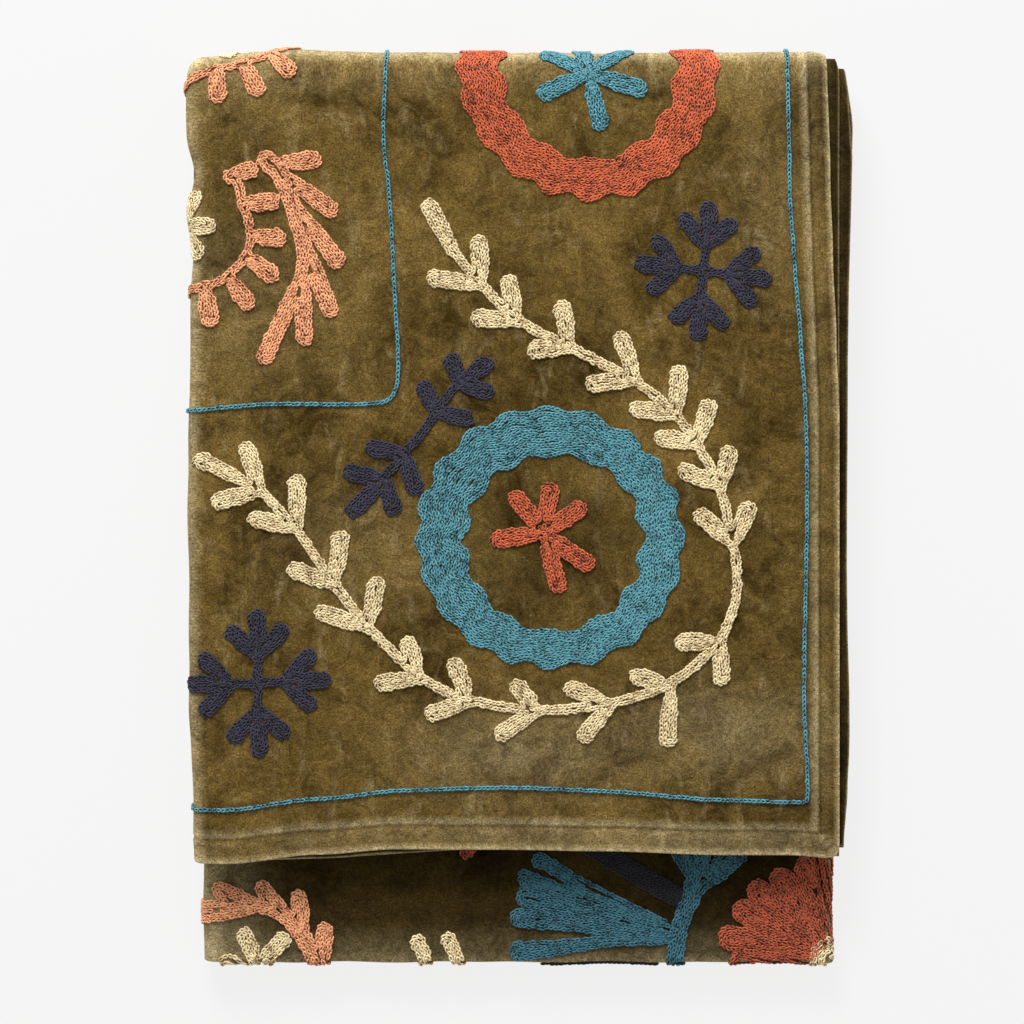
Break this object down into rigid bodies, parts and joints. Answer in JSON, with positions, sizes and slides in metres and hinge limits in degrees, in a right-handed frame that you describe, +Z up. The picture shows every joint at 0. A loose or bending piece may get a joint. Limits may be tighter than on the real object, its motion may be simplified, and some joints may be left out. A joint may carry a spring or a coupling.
{
  "type": "folded throw",
  "caption": "Velvet throw with suzani chain stitch embroidery and turned hems, folded into a flat rectangular stack that lies on a surface.",
  "frame": {"origin": "on the resting plane, under the middle of the folded stack", "axes": "+Z up from the resting plane, +Y from the front panel's bottom hem to the top fold, +X to the right seen from above with the bottom hem nearest"},
  "size_m": [0.331, 0.4564, 0.0344],
  "materials": {
    "velvet": "olive brown cotton velvet pile, matte, with a soft sheen along the nap"
  },
  "bodies": {
    "root": {"throw": "velvet"}
  },
  "joints": []
}
